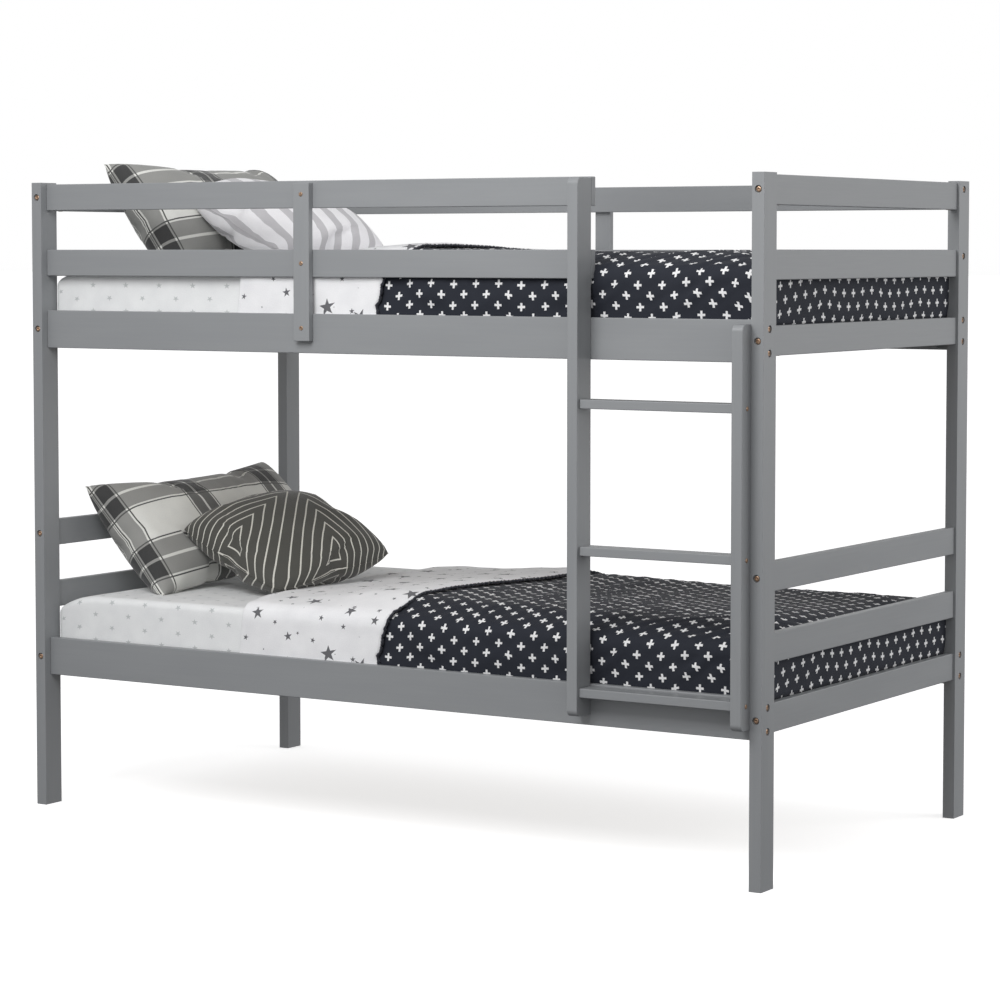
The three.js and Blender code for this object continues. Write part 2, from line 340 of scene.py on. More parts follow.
def pine(axis):
    """Bare planed pine with streaks of darker late wood along one axis."""
    material, tree, shader = new_material("bare_pine", {"Roughness": 0.62})
    waver = cloudy(tree, stretched(tree, axis, 2.2, 18), 2)
    x, _, z = place_of(tree)
    rings = ((x * 9 + z * 30 + waver * 2.6) * TAU).sine() * 0.5 + 0.5
    fibres = cloudy(tree, stretched(tree, axis, 8, 700))
    share = ramp(rings * 0.6 + fibres * 0.4, 0.2, 0.9)
    colour = blend_colours(share, (0.66, 0.48, 0.27), (0.47, 0.29, 0.13))
    set_input(shader, "Base Color", colour)
    raise_surface(shader, fibres * 0.6 + rings * 0.4, 0.0005, 0.4)
    return material


def brass():
    material, tree, shader = new_material("brass", {"Metallic": 1.0})
    stain = cloudy(tree, stretched(tree, 0, 240, 240))
    colour = blend_colours(ramp(stain, 0.35, 0.7), (0.50, 0.34, 0.24), (0.32, 0.22, 0.15))
    set_input(shader, "Base Color", colour)
    set_input(shader, "Roughness", ramp(stain, 0.3, 0.7, 0.38, 0.55))
    return material


# ---- cloth prints ----

def cloth(name, colour, roughness=0.86, sheen=0.25, thread=1.1):
    """Woven cotton: a colour from a function of the flat place, and a fine weave."""
    material, tree, shader = new_material(name, {
        "Roughness": roughness, "Specular IOR Level": 0.25,
        "Sheen Weight": sheen, "Sheen Roughness": 0.4,
    })
    u, v = flat_place(tree)
    fuzz = cloudy(tree, vector_of(tree, u / 2.4, v / 2.4))
    shade = cloudy(tree, vector_of(tree, u / 60, v / 60), 2)
    wear = ramp(shade * 0.5 + fuzz * 0.5, 0.25, 0.8)
    worn = blend_colours(wear, colour(u, v), (0.86, 0.86, 0.87), "MULTIPLY")
    set_input(shader, "Base Color", worn)
    weave = (u * (TAU / thread)).sine() * (v * (TAU / thread)).sine() * 0.5 + 0.5
    raise_surface(shader, weave * 0.5 + fuzz * 0.5, 0.0005, 0.5)
    return material


PLUS_PITCH = (60, 48)
PLUS_SIZE = 18.5
PLUS_ARM = 5.2
SHEET_PITCH = (101, 62)
SHEET_STAR = 9.5


def plus_signs(u, v):
    """White plus signs, each row half a step along from the last."""
    def nearest(shift):
        x = abs(u.off_centre(PLUS_PITCH[0], shift))
        y = abs(v.off_centre(PLUS_PITCH[1], shift))
        flat_arm = x.below(PLUS_SIZE / 2) * y.below(PLUS_ARM / 2)
        upright_arm = x.below(PLUS_ARM / 2) * y.below(PLUS_SIZE / 2)
        return flat_arm.maximum(upright_arm)

    sign = nearest(0).maximum(nearest(0.5))
    return blend_colours(sign, (0.022, 0.025, 0.035), (0.84, 0.84, 0.84))


def star(x, y, radius, turn):
    """1 inside a five-pointed star of that radius, turned by turn radians."""
    point = TAU / 5
    bearing = (y.angle_to(x) + turn) / point
    offset = abs((bearing.fraction() - 0.5) * point)
    edge = (x * x + y * y).root() * (offset.cosine() + offset.sine() * math.tan(point))
    return edge.below(radius)


def scattered_stars(u, v, pitch, sizes, seed):
    """Stars of mixed sizes, one in each cell of a grid, moved and turned at random."""
    tree = u.tree
    column = (u / pitch).floor()
    row = (v / pitch).floor()
    size, turn, _ = dice(tree, column, row, seed)
    across, along, _ = dice(tree, column, row, seed + 0.5)
    x = u.off_centre(pitch) - (across - 0.5) * (pitch * 0.35)
    y = v.off_centre(pitch) - (along - 0.5) * (pitch * 0.35)
    radius = ramp(size, 0, 1, *sizes)
    return star(x, y, radius, turn * TAU)


def lining_stars(u, v):
    """The duvet's lining: grey stars, large and small, on white."""
    tilted_u = u * 0.94 - v * 0.34
    tilted_v = v * 0.94 + u * 0.34
    large = scattered_stars(tilted_u, tilted_v, 118, (12, 27), 3)
    small = scattered_stars(tilted_u + 41, tilted_v + 23, 61, (1.5, 8), 8)
    share = large.maximum(small)
    return blend_colours(share, (0.90, 0.90, 0.91), (0.15, 0.15, 0.16))


def sheet_stars(u, v):
    """The fitted sheet: small pale stars in staggered rows on white."""
    def row_of_stars(shift, turn):
        x = u.off_centre(SHEET_PITCH[0], shift)
        y = (v + 18).off_centre(SHEET_PITCH[1], shift)
        return star(x, y * 1.25, SHEET_STAR, turn)

    share = row_of_stars(0, 0.3).maximum(row_of_stars(0.5, 0.9))
    return blend_colours(share, (0.86, 0.87, 0.87), (0.58, 0.60, 0.60))


PLAID_WARP = ((-75, 36), (205, 36))  # middle and half width of each wide band
PLAID_NARROW = (-318, 18)
PLAID_WEFT = ((104, 42), (-82, 42))
PLAID_LINE = (6, 1.7)  # how far outside a band, and half its width


def band(u, centre, half, split=3.5):
    """A band of a plaid with a pale line along its middle."""
    x = abs(u - centre)
    return x.below(half) - x.below(split)


def edge_line(u, centre, half):
    """The dark line outside each edge of a band."""
    return abs(abs(u - centre) - (half + PLAID_LINE[0])).below(PLAID_LINE[1])


def strongest(shares):
    return reduce(Field.maximum, shares)


def plaid(u, v):
    """An off-white, grey and black plaid, woven so that crossings are darkest."""
    wide = strongest([band(u, *place) for place in PLAID_WARP])
    narrow = band(u, *PLAID_NARROW, split=0)
    weft = strongest([band(v, *place) for place in PLAID_WEFT])
    lines = [edge_line(u, *place) for place in (*PLAID_WARP, PLAID_NARROW)]
    lines += [edge_line(v, *place) for place in PLAID_WEFT]
    crossing = wide.maximum(narrow) * weft
    woven = strongest([wide * 0.82, narrow * 0.62, weft * 0.63, crossing * 0.975])
    twill = ((u + v) / 3.4).fraction().below(0.5) * 0.05
    share = woven.maximum(strongest(lines) * 0.9) - twill * woven
    return blend_colours(share, (0.75, 0.75, 0.71), (0.020, 0.020, 0.022))


LINE_PITCH = 20.5
LINE_WIDTH = 3.0
TRIANGLE_SHIFT = 72  # how far the print sits towards one corner, each way


def nested_triangles(half):
    """Pale lines side by side with the edges of a square's two halves."""
    def colour(u, v):
        high = u.maximum(v) + TRIANGLE_SHIFT
        low = u.minimum(v) + TRIANGLE_SHIFT
        to_side = (low + half).minimum(half - high)
        inward = to_side.minimum((high - low) / math.sqrt(2))
        line = (inward / LINE_PITCH + 0.5).fraction().below(LINE_WIDTH / LINE_PITCH)
        return blend_colours(line, (0.085, 0.084, 0.075), (0.66, 0.65, 0.59))
    return colour


def waves(u, v):
    """Light grey stripes with softly wavering edges on a paler ground."""
    waver = cloudy(u.tree, vector_of(u.tree, u / 110, v / 55), 1) * 14
    stripe = (u + waver + (v * (TAU / 190)).sine() * 3).off_centre(52)
    share = abs(stripe).below(11)
    return blend_colours(share, (0.86, 0.85, 0.865), (0.54, 0.53, 0.545))


def plain(colour):
    """A cloth of one dyed colour, with slightly lighter and darker threads."""
    darker = tuple(c * 0.93 for c in colour)

    def dyed(u, v):
        slub = cloudy(u.tree, vector_of(u.tree, u / 0.9, v / 14), 2)
        return blend_colours(ramp(slub, 0.3, 0.7), colour, darker)
    return dyed


# ---- mesh helpers ----

def add_piece(name, points, faces, materials, body, flat=None, picks=None):
    """A smooth mesh riding on a body. flat is each point's place on the cut cloth."""
    mesh = bpy.data.meshes.new(name)
    mesh.from_pydata(metres(points).tolist(), [], faces)
    for material in materials:
        mesh.materials.append(material)
    mesh.polygons.foreach_set("use_smooth", [True] * len(mesh.polygons))
    if picks is not None:
        mesh.polygons.foreach_set("material_index", picks)
    if flat is not None:
        layer = mesh.uv_layers.new(name="cloth")
        corners = np.zeros(len(mesh.loops), int)
        mesh.loops.foreach_get("vertex_index", corners)
        layer.data.foreach_set("uv", (flat[corners] * MM).astype(np.float32).ravel())
    mesh.update()
    piece = bpy.data.objects.new(name, mesh)
    bpy.context.scene.collection.objects.link(piece)
    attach(piece, body)
    return piece


def add_bed_piece(name, bunk, points, faces, materials, flat, picks=None):
    """A piece shaped on the lower mattress and put on this bunk's."""
    return add_piece(f"{name}_{bunk}", points + LIFT[bunk], faces, materials,
                     f"{bunk}_mattress", flat, picks)


def grid_faces(rows, columns, start=0, flipped=False, wrap=False, ring=False):
    """Quads joining a grid of points, numbered row by row.

    wrap joins its last column to its first, and ring its last row to its first.
    """
    faces = []
    for i in range(rows if ring else rows - 1):
        here = start + i * columns
        ahead = start + (i + 1) % rows * columns
        for j in range(columns if wrap else columns - 1):
            k = (j + 1) % columns
            quad = [here + j, ahead + j, ahead + k, here + k]
            faces.append(quad[::-1] if flipped else quad)
    return faces


def rim_of(rows, columns):
    """The numbers of a grid's outer points, in order round it."""
    numbers = np.arange(rows * columns).reshape(rows, columns)
    sides = (numbers[0], numbers[1:, -1], numbers[-1, -2::-1], numbers[-2:0:-1, 0])
    return np.concatenate(sides).tolist()


def joined(parts):
    """Several (points, faces) as one."""
    points = []
    faces = []
    for part_points, part_faces in parts:
        start = sum(len(p) for p in points)
        points.append(np.asarray(part_points))
        faces += [[start + i for i in face] for face in part_faces]
    return np.concatenate(points), faces


def tube(path, radius, sides=8, closed=False):
    """A round tube along points, as (points, faces)."""
    path = np.asarray(path, float)
    if closed:
        way = np.roll(path, -1, 0) - np.roll(path, 1, 0)
    else:
        way = np.gradient(path, axis=0)
    way /= np.linalg.norm(way, axis=1)[:, None] + 1e-9
    side = np.cross(way, (0.3, 0.2, 0.93))
    side /= np.linalg.norm(side, axis=1)[:, None] + 1e-9
    up = np.cross(side, way)
    turn = np.arange(sides) * TAU / sides
    ring = side[:, None] * np.cos(turn)[None, :, None] + up[:, None] * np.sin(turn)[None, :, None]
    radius = np.broadcast_to(radius, len(path))[:, None, None]
    points = (path[:, None] + ring * radius).reshape(-1, 3)
    faces = grid_faces(len(path), sides, wrap=True, ring=closed)
    if not closed:
        faces.append(list(range(sides)))
        faces.append([len(points) - 1 - j for j in range(sides)])
    return points, faces


def smoothstep(low, high, x):
    t = np.clip((np.asarray(x, float) - low) / (high - low), 0, 1)
    return t * t * (3 - 2 * t)


def rumple(x, y, size, seed):
    """Smooth random waves from -1 to 1 over arrays of places, about size wide."""
    x, y = np.broadcast_arrays(x, y)
    places = zip(x.ravel() / size, y.ravel() / size)
    waves = [noise.noise(Vector((*place, seed))) for place in places]
    return np.array(waves).reshape(x.shape)


# ---- cloth simulation ----

def capped(moves, most):
    """Moves whose length levels off at most."""
    length = np.linalg.norm(moves, axis=-1, keepdims=True) + 1e-9
    return moves / length * most * np.tanh(length / most)


def blurred(grid, passes):
    """A grid of values averaged with its neighbours again and again."""
    for _ in range(passes):
        padded = np.pad(grid, ((1, 1), (1, 1), (0, 0)), mode="edge")
        beside = padded[1:-1, :-2] + padded[1:-1, 2:]
        above = padded[:-2, 1:-1] + padded[2:, 1:-1]
        grid = (grid + beside + above) / 5
    return grid


def trial_object(name, points, faces):
    """An object that is only there for a simulation; points are in millimetres."""
    mesh = bpy.data.meshes.new(name)
    mesh.from_pydata((np.asarray(points) * MM).tolist(), [], faces)
    trial = bpy.data.objects.new(name, mesh)
    bpy.context.scene.collection.objects.link(trial)
    return trial


def simulated(points, faces, frames, swell, pressure=0.0, pinned=None, floor=None):
    """Where a cloth's points, in millimetres, come to rest in Blender's simulation."""
    scene = bpy.context.scene
    trial = trial_object("cloth_trial", points, faces)
    trials = [trial]
    if floor is not None:
        solid = trial_object("ground_trial", *floor)
        solid.modifiers.new("collision", "COLLISION")
        solid.collision.thickness_outer = 0.002
        solid.collision.cloth_friction = 12
        trials.append(solid)
    modifier = trial.modifiers.new("cloth", "CLOTH")
    settings = modifier.settings
    settings.quality = 7
    settings.mass = 0.25
    settings.tension_stiffness = 30
    settings.compression_stiffness = 30
    settings.shear_stiffness = 12
    settings.bending_stiffness = 0.6
    settings.air_damping = 2
    settings.shrink_min = -swell
    settings.use_pressure = pressure > 0
    settings.uniform_pressure_force = pressure
    settings.effector_weights.gravity = 0 if pressure else 1
    modifier.collision_settings.use_collision = floor is not None
    modifier.collision_settings.distance_min = 0.002
    if pinned is not None:
        group = trial.vertex_groups.new(name="pinned")
        group.add([int(i) for i in pinned], 1.0, "REPLACE")
        settings.vertex_group_mass = "pinned"
    for number in range(1, frames + 1):
        scene.frame_set(number)
    evaluated = trial.evaluated_get(bpy.context.evaluated_depsgraph_get())
    result = np.zeros(len(points) * 3)
    evaluated.data.vertices.foreach_get("co", result)
    for thing in trials:
        bpy.data.objects.remove(thing)
    scene.frame_set(1)
    return result.reshape(-1, 3) / MM


# ---- carried-over boards ----

# The axis that a board's grain runs along, and the radius of its eased edges.
BOARDS = {
    "post": (2, 1.8), "ladder_stile": (2, 1.8), "guard_strip": (2, 1.8),
    "side_rail": (0, 2.0), "guard_rail": (0, 2.0), "ladder_rung": (0, 2.0),
    "end_rail": (1, 2.0), "slat": (1, 1.5),
}


def ease_edges(node, width):
    """Rounds the sharp edges of a CAD board without touching its mesh."""
    weld = node.modifiers.new("weld", "WELD")
    weld.merge_threshold = 0.00001
    merge = node.modifiers.new("merge_flats", "DECIMATE")
    merge.decimate_type = "DISSOLVE"
    merge.angle_limit = math.radians(1)
    bevel = node.modifiers.new("eased_edges", "BEVEL")
    bevel.width = width * MM
    bevel.segments = 3
    bevel.limit_method = "ANGLE"
    bevel.angle_limit = math.radians(35)
    bevel.harden_normals = True


def finish_boards():
    paints = [painted_wood(axis) for axis in range(3)]
    bare = pine(1)
    for name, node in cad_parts.items():
        for kind, (axis, eased) in BOARDS.items():
            if name.startswith(kind):
                node.data.materials.clear()
                node.data.materials.append(bare if kind == "slat" else paints[axis])
                ease_edges(node, eased)


# ---- bolts and screws ----

def fastener_head(radius, height, socket, lobes, lobe_depth, socket_depth):
    """A domed head with a lobed socket, on z = 0, as (points, faces)."""
    around = 36
    turn = np.arange(around) * TAU / around
    lobed = socket * (1 - lobe_depth + lobe_depth * np.cos(lobes * turn))
    profile = [
        (radius, 0), (radius, height * 0.4), (radius * 0.93, height * 0.72),
        (radius * 0.76, height * 0.93), ((radius * 0.5 + socket) / 1.8, height),
        (lobed * 1.08, height), (lobed, height - 0.3), (lobed, height - socket_depth),
    ]
    rings = [
        np.stack([r * np.cos(turn), r * np.sin(turn), np.full(around, z)], 1)
        for r, z in profile
    ]
    points = np.concatenate(rings)
    faces = grid_faces(len(rings), around, flipped=True, wrap=True)
    faces.append(list(range(around - 1, -1, -1)))
    faces.append(list(range(len(points) - around, len(points))))
    return points, faces


def aimed(part, place, way):
    """A part made on z = 0 and moved to a place, its z axis turned along way."""
    turn = np.array(Vector(way).to_track_quat("Z", "Y").to_matrix())
    return part[0] @ turn.T + np.array(place), part[1]


def add_fasteners(name, parts, metal):
    points, faces = joined(parts)
    add_piece(name, points, faces, [metal], "frame")


BOLT_HEAD = fastener_head(6.5, 3.3, 3.0, 6, 0.06, 2.2)
WOOD_SCREW = fastener_head(5.2, 1.2, 2.7, 4, 0.35, 1.0)
BARREL_NUT = fastener_head(5.6, 0.8, 3.2, 2, 0.42, 0.7)
POCKET_DEPTH = 5.0
RAIL_BOLT_RISE = 25.5
GUARD_BOLT_RISE = 16
NUT_INSET = 32
STRIP_SCREW_RISE = 30  # least height above the guard strip's lower end
RUNG_SCREW_INSET = 14
SLAT_SCREW_INSET = 11
SLAT_SCREW_SINK = 0.9
SIDES = ("front", "back")
ENDS = ("head", "foot")
OUTWARD = {"front": -1, "back": 1, "head": -1, "foot": 1}


def middle(node, axis):
    low, high = span(node)
    return (low[axis] + high[axis]) / 2


def face_of(node, axis, way):
    """Where a board's face is that looks forwards or backwards along an axis."""
    low, high = span(node)
    return high[axis] if way > 0 else low[axis]


def add_post_bolts(side, end, metal):
    """Bolts through the post's narrow face into the end rails, and through its wide
    face into the side rails and the guard rails."""
    post = f"post_{side}_{end}"
    out_x = OUTWARD[end]
    out_y = OUTWARD[side]
    parts = []
    for bunk in BUNKS:
        for level in ("bottom", "top"):
            z = middle(f"end_rail_{end}_{bunk}_{level}", 2)
            place = (middle(post, 0), face_of(post, 1, out_y) - out_y * POCKET_DEPTH, z)
            parts.append(aimed(BOLT_HEAD, place, (0, out_y, 0)))
    rails = [middle(f"side_rail_{side}_{bunk}", 2) for bunk in BUNKS]
    levels = [z + rise for z in rails for rise in (-RAIL_BOLT_RISE, RAIL_BOLT_RISE)]
    if side == "back" or end == "head":
        levels += [middle(f"guard_rail_{side}_{g}", 2) + GUARD_BOLT_RISE for g in BUNKS]
    for z in levels:
        place = (face_of(post, 0, out_x) - out_x * POCKET_DEPTH, middle(post, 1), z)
        parts.append(aimed(BOLT_HEAD, place, (out_x, 0, 0)))
    add_fasteners(f"bolts_{side}_{end}", parts, metal)


def add_barrel_nuts(metal):
    """The nuts that the bolts pull on: let into the inner faces of the side rails, and
    into the undersides of the end rails."""
    parts = []
    for bunk in BUNKS:
        for side in SIDES:
            rail = f"side_rail_{side}_{bunk}"
            inward = -OUTWARD[side]
            y = face_of(f"guard_rail_{side}_lower", 1, inward)
            for end in ENDS:
                x = face_of(rail, 0, OUTWARD[end]) - OUTWARD[end] * NUT_INSET
                place = (x, y, middle(rail, 2) + RAIL_BOLT_RISE)
                parts.append(aimed(BARREL_NUT, place, (0, inward, 0)))
        for end in ENDS:
            for rail in (f"end_rail_{end}_{bunk}_{level}" for level in ("bottom", "top")):
                for side in SIDES:
                    y = face_of(rail, 1, OUTWARD[side]) - OUTWARD[side] * NUT_INSET
                    place = (middle(rail, 0), y, face_of(rail, 2, -1))
                    parts.append(aimed(BARREL_NUT, place, (0, 0, -1)))
    add_fasteners("barrel_nuts", parts, metal)


def add_strip_screws(metal):
    parts = []
    for side in SIDES:
        strip = f"guard_strip_{side}"
        way = OUTWARD[side]
        lowest = face_of(strip, 2, -1) + STRIP_SCREW_RISE
        for rail in ("side_rail_{}_upper", "guard_rail_{}_lower", "guard_rail_{}_upper"):
            z = max(middle(rail.format(side), 2), lowest)
            place = (middle(strip, 0), face_of(strip, 1, way), z)
            parts.append(aimed(WOOD_SCREW, place, (0, way, 0)))
    add_fasteners("strip_screws", parts, metal)


def add_ladder_screws(metal):
    parts = []
    for rung in ("ladder_rung_1", "ladder_rung_2", "ladder_rung_3"):
        y = face_of(rung, 1, -1) + RUNG_SCREW_INSET
        for stile, way in (("ladder_stile_left", -1), ("ladder_stile_right", 1)):
            place = (face_of(stile, 0, way), y, middle(rung, 2))
            parts.append(aimed(WOOD_SCREW, place, (way, 0, 0)))
    add_fasteners("ladder_screws", parts, metal)


def add_slat_screws(bunk, metal):
    parts = []
    for slat in sorted(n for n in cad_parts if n.startswith(f"slat_{bunk}_")):
        low, high = span(slat)
        for y in (low[1] + SLAT_SCREW_INSET, high[1] - SLAT_SCREW_INSET):
            place = (middle(slat, 0), y, high[2] - SLAT_SCREW_SINK)
            parts.append(aimed(WOOD_SCREW, place, (0, 0, 1)))
    add_fasteners(f"slat_screws_{bunk}", parts, metal)


def add_all_fasteners():
    metal = brass()
    for side in SIDES:
        for end in ENDS:
            add_post_bolts(side, end, metal)
    add_barrel_nuts(metal)
    add_strip_screws(metal)
    add_ladder_screws(metal)
    for bunk in BUNKS:
        add_slat_screws(bunk, metal)


# ---- wrapping cloth over a mattress ----

MATTRESS_SLACK = 2.0  # the mattress is pressed in at its sides by its covers
HEAD_REACH = 3.0  # how much nearer it is pushed to the head
EDGE = 16.0  # radius of its edges, and of its corners seen from above
HEAD_SAG = 0.22  # share of its height that it loses at the edge of the head
HEAD_SAG_REACH = 115.0
BEND_STEP = 4.0
PIPING_TURNS = (0.55, 2.6)  # how far the edge has turned at its two seams, in radians
MATTRESS_STEP = 24
SHEET_STEP = 16

LOW, HIGH = span("mattress_lower")
LOW = LOW + (-HEAD_REACH, MATTRESS_SLACK, 0)
HIGH = HIGH - (0, MATTRESS_SLACK, 0)
FLAT_LOW = LOW + EDGE  # between its rounded edges
FLAT_HIGH = HIGH - EDGE
SIDE_HEIGHT = FLAT_HIGH[2] - FLAT_LOW[2]
ARC = EDGE * math.pi / 2
SIDE_REACH = 2 * ARC + SIDE_HEIGHT  # along a cloth, from the top round to the underside


def sagged(x, z):
    """A height at the mattress, lower where its head end rounds over."""
    share = HEAD_SAG * (1 - np.clip((x - LOW[0]) / HEAD_SAG_REACH, 0, 1)) ** 2
    return LOW[2] + (z - LOW[2]) * (1 - share)


def over_mattress(flat_x, flat_y, rise):
    """Points of a cloth wrapped round the mattress: flat places, and how far off it."""
    near_x = np.clip(flat_x, FLAT_LOW[0], FLAT_HIGH[0])
    near_y = np.clip(flat_y, FLAT_LOW[1], FLAT_HIGH[1])
    dx = flat_x - near_x
    dy = flat_y - near_y
    straight = np.hypot(dx, dy)
    out = np.maximum(abs(dx), abs(dy))
    way_x = np.divide(dx, straight, out=np.zeros_like(dx), where=straight > 0)
    way_y = np.divide(dy, straight, out=np.zeros_like(dy), where=straight > 0)
    top_turn = np.clip(out / EDGE, 0, math.pi / 2)
    bottom_turn = np.clip((out - ARC - SIDE_HEIGHT) / EDGE, 0, math.pi / 2)
    turn = top_turn + bottom_turn
    reach = EDGE * np.sin(top_turn) - EDGE * (1 - np.cos(bottom_turn)) + rise * np.sin(turn)
    reach -= np.maximum(out - SIDE_REACH, 0)
    drop = EDGE * (1 - np.cos(top_turn)) + EDGE * np.sin(bottom_turn)
    drop += np.clip(out - ARC, 0, SIDE_HEIGHT)
    x = near_x + way_x * reach
    z = sagged(x, HIGH[2] - drop + rise * np.cos(turn))
    return np.stack([x, near_y + way_y * reach, z], -1)


def quilted(core, thickness):
    """A closed padded cloth round a grid of points, as (points, faces)."""
    rows, columns = thickness.shape
    along = np.gradient(core, axis=0)
    across = np.gradient(core, axis=1)
    normal = np.cross(across, along)
    normal /= np.linalg.norm(normal, axis=2)[..., None] + 1e-9
    half = normal * thickness[..., None] / 2
    points = np.concatenate([core + half, core - half]).reshape(-1, 3)
    count = rows * columns
    faces = grid_faces(rows, columns, flipped=True) + grid_faces(rows, columns, count)
    rim = rim_of(rows, columns)
    for a, b in zip(rim, rim[1:] + rim[:1]):
        faces.append([b, a, a + count, b + count])
    return points, faces


# ---- mattress and fitted sheet ----

def axis_steps(low, high, step):
    return np.linspace(low, high, max(2, int(round((high - low) / step)) + 1))


def wrap_lines(axis, extent, step):
    """Where a wrapped cloth's grid lines cross an axis, closer together in the bends."""
    low = FLAT_LOW[axis]
    high = FLAT_HIGH[axis]
    stops = (0, ARC, ARC + SIDE_HEIGHT, SIDE_REACH, extent)
    steps = (BEND_STEP, step, BEND_STEP, step)
    runs = [axis_steps(a, b, s)[1:] for a, b, s in zip(stops, stops[1:], steps) if b > a + 1]
    outward = np.concatenate(runs)
    return np.concatenate([low - outward[::-1], axis_steps(low, high, step), high + outward])


def wrap_grid(extent, step):
    """Flat places of a cloth that reaches extent past the mattress's flat top."""
    lines = [wrap_lines(axis, extent, step) for axis in range(2)]
    return np.meshgrid(*lines, indexing="ij")


def add_mattress(bunk, materials):
    """A foam mattress in a knitted cover, with piping round its top and bottom seams."""
    flat_x, flat_y = wrap_grid(SIDE_REACH, MATTRESS_STEP)
    faces = grid_faces(*flat_x.shape)
    faces.append(rim_of(*flat_x.shape))
    cover = (over_mattress(flat_x, flat_y, 0).reshape(-1, 3), faces)
    piping = [tube(mattress_outline(turn), 0.8, closed=True) for turn in PIPING_TURNS]
    points, all_faces = joined([cover, *piping])
    flat = np.zeros((len(points), 2))
    flat[:flat_x.size] = np.stack([flat_x.ravel(), flat_y.ravel()], 1)
    flat[flat_x.size:, 0] = np.arange(len(points) - flat_x.size)
    picks = [0] * len(faces) + [1] * (len(all_faces) - len(faces))
    piece = add_bed_piece("mattress_body", bunk, points, all_faces, materials,
                          flat, picks)
    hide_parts(f"mattress_{bunk}")


def mattress_outline(turn):
    """Points round the mattress where its edge has turned by that many radians."""
    steps = 12
    corners = [(FLAT_HIGH[0], FLAT_LOW[1], -90), (FLAT_HIGH[0], FLAT_HIGH[1], 0),
               (FLAT_LOW[0], FLAT_HIGH[1], 90), (FLAT_LOW[0], FLAT_LOW[1], 180)]
    reach = EDGE * math.sin(turn)
    z = FLAT_HIGH[2] + EDGE * math.cos(turn)
    if turn > math.pi / 2:
        z -= SIDE_HEIGHT
    outline = []
    for x, y, start in corners:
        for i in range(steps + 1):
            angle = math.radians(start + 90 * i / steps)
            at_x = x + reach * math.cos(angle)
            outline.append((at_x, y + reach * math.sin(angle), sagged(at_x, z)))
    return outline


SHEET_UNDER = 70.0  # how far the fitted sheet reaches under the mattress
SHEET_RISE = 1.2


def sheet_rise(x, y):
    """A stretched sheet with low creases, deeper towards the corners of the head."""
    slack = 1.1 * rumple(x + 0.6 * y, y, 160, 4.0) + 0.9 * rumple(x, y * 0.4, 55, 9.0)
    inside = np.minimum(np.minimum(x - LOW[0], y - LOW[1]), HIGH[1] - y)
    return SHEET_RISE + (slack + 1.2).clip(0) * smoothstep(-30, 120, inside)


def add_fitted_sheet(bunk, material):
    flat_x, flat_y = wrap_grid(SIDE_REACH + SHEET_UNDER, SHEET_STEP)
    points = over_mattress(flat_x, flat_y, sheet_rise(flat_x, flat_y)).reshape(-1, 3)
    flat = np.stack([flat_x.ravel(), flat_y.ravel()], 1)
    piece = add_bed_piece("fitted_sheet", bunk, points, grid_faces(*flat_x.shape),
                          [material], flat)


# ---- duvet ----

FOLD_X = 592.0
HEM_X = 1034.0
CLOTH_STEP = 11.0
SKIRT = 118.0  # how far the duvet hangs below the mattress top
TUCKED_THICKNESS = 3.6
DUVET_REACH = ARC + SKIRT - EDGE  # along the cloth, from the flat top to its edge
FOOT_CLEARANCE = 1.5  # what it leaves free in front of the foot's rails
FOLD_RADIUS = 6.0
FOLD_ROWS = 7
HELD_INSET = -95.0  # where its sides are held while the rest settles
SETTLE_FRAMES = 26
CORD_SIDES = 8
CORD_STEP = 3.0


def fold_line(y):
    """Where the duvet is folded back, across the bed."""
    return np.interp(y, [-60, 40, 75, 140, 240, 330, 1100], [591, 604, 607, 597, 578, 570, 580])


def hem_line(y):
    """Where the turned-down part ends, across the bed. It hangs back at the sides."""
    across = [-70, -45, -35, -15, 15, 60, 120, 1100]
    return np.interp(y, across, [997, 990, 982, 997, 1001, 1020, 1034, 1034])


def inset(x, y):
    """How far a flat place is inside the mattress's edges, at the sides and the foot."""
    return np.minimum(np.minimum(y - LOW[1], HIGH[1] - y), HIGH[0] - x)


def side_share(x, y):
    """0 where the cloth is tucked below the rails and 1 above them."""
    return smoothstep(-112, -82, inset(x, y))


def puff(x, y):
    """How full the padding is, from its edges to the middle of the bed."""
    return smoothstep(-25, 120, inset(x, y))


def base_thickness(x, y):
    grow = smoothstep(650, 1050, x)
    full = 32 - 16 * smoothstep(250, 800, y) - 6 * smoothstep(1100, 1450, x)
    return TUCKED_THICKNESS + 2 * side_share(x, y) + (5 + full * grow) * puff(x, y)


def flap_thickness(x, y):
    grow = smoothstep(600, 900, x)
    return TUCKED_THICKNESS + 1.5 * side_share(x, y) + (4 + 5 * grow) * puff(x, y)


def creases(x, y, seed):
    """Padded cloth's puckers: soft diagonal creases that are deeper near the edges."""
    slant = rumple(x + 0.55 * y, (y - 0.5 * x) * 0.35, 72, seed)
    broad = rumple(x, y, 190, seed + 5)
    fine = rumple(x * 0.8 + y * 0.3, y, 27, seed + 9)
    near_edge = 1 - smoothstep(40, 330, inset(x, y))
    above = side_share(x, y)
    return above * (5 * slant * (0.35 + near_edge) + 5 * broad + 0.9 * fine)


def measured(grid, axis):
    """How far each point is along its line of the grid, from the line's middle."""
    steps = np.linalg.norm(np.diff(grid, axis=axis), axis=2)
    reach = np.insert(np.cumsum(steps, axis=axis), 0, 0, axis=axis)
    return reach - np.take(reach, [grid.shape[axis] // 2], axis=axis)


